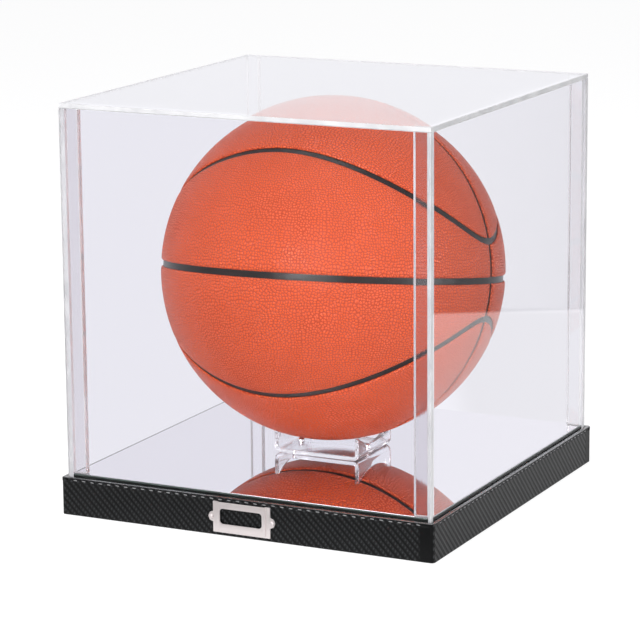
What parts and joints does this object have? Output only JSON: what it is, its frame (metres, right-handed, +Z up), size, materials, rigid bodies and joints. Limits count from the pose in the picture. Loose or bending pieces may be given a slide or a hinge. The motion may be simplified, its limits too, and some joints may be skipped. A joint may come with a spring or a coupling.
{
  "type": "basketball display case",
  "caption": "Table-top display case: a wrapped base with a mirror floor and label holder, a lift-off clear square cover, and a ball on a clear bent cradle.",
  "frame": {"origin": "centre of the base's underside, on the surface that the case stands on", "axes": "+X to the right as seen from the label holder's side, +Y towards the back, +Z up"},
  "size_m": [0.284, 0.286, 0.2886],
  "materials": {
    "clear_acrylic": "clear polished acrylic sheet and rod, edges flame polished",
    "mirror": "silvered plate with a dark green-grey edge",
    "leatherette": "black carbon-look twill leatherette, semi-gloss, hemmed along the top",
    "board": "raw fibreboard",
    "felt": "black felt",
    "nickel": "satin nickel",
    "screw_steel": "bright steel",
    "ball_leather": "pebbled orange-brown leather",
    "ball_rubber": "matt dark rubber"
  },
  "bodies": {
    "base": {"felt_pad": "felt", "bottom_board": "board", "platform_board": "board", "mirror_plate": "mirror", "rail_front": "board", "rail_right": "board", "rail_back": "board", "rail_left": "board", "wrap_front": "leatherette", "wrap_right": "leatherette", "wrap_back": "leatherette", "wrap_left": "leatherette", "cradle": "clear_acrylic", "cradle_screw_left": "screw_steel", "cradle_screw_right": "screw_steel", "label_holder": "nickel", "label_pin_left": "nickel", "label_pin_right": "nickel"},
    "cover": {"cover_front": "clear_acrylic", "cover_back": "clear_acrylic", "cover_left": "clear_acrylic", "cover_right": "clear_acrylic", "cover_lid": "clear_acrylic", "corner_rod_front_left": "clear_acrylic", "corner_rod_front_right": "clear_acrylic", "corner_rod_back_left": "clear_acrylic", "corner_rod_back_right": "clear_acrylic"},
    "ball": {"panel_upper_band_front": "ball_leather", "panel_upper_band_back": "ball_leather", "panel_upper_cap_front": "ball_leather", "panel_upper_cap_back": "ball_leather", "panel_lower_band_front": "ball_leather", "panel_lower_band_back": "ball_leather", "panel_lower_cap_front": "ball_leather", "panel_lower_cap_back": "ball_leather", "ball_carcass": "ball_rubber", "ball_bladder": "ball_rubber", "ball_valve": "ball_rubber"}
  },
  "joints": [
    {"name": "cover_lift", "type": "slide", "parent": "base", "child": "cover", "axis": [0, 0, 1], "range_m": [0, 0.3]},
    {"name": "ball_turn", "type": "hinge", "parent": "base", "child": "ball", "pos_m": [0, 0, 0.15943], "axis": [0, 0, 1], "continuous": true}
  ]
}
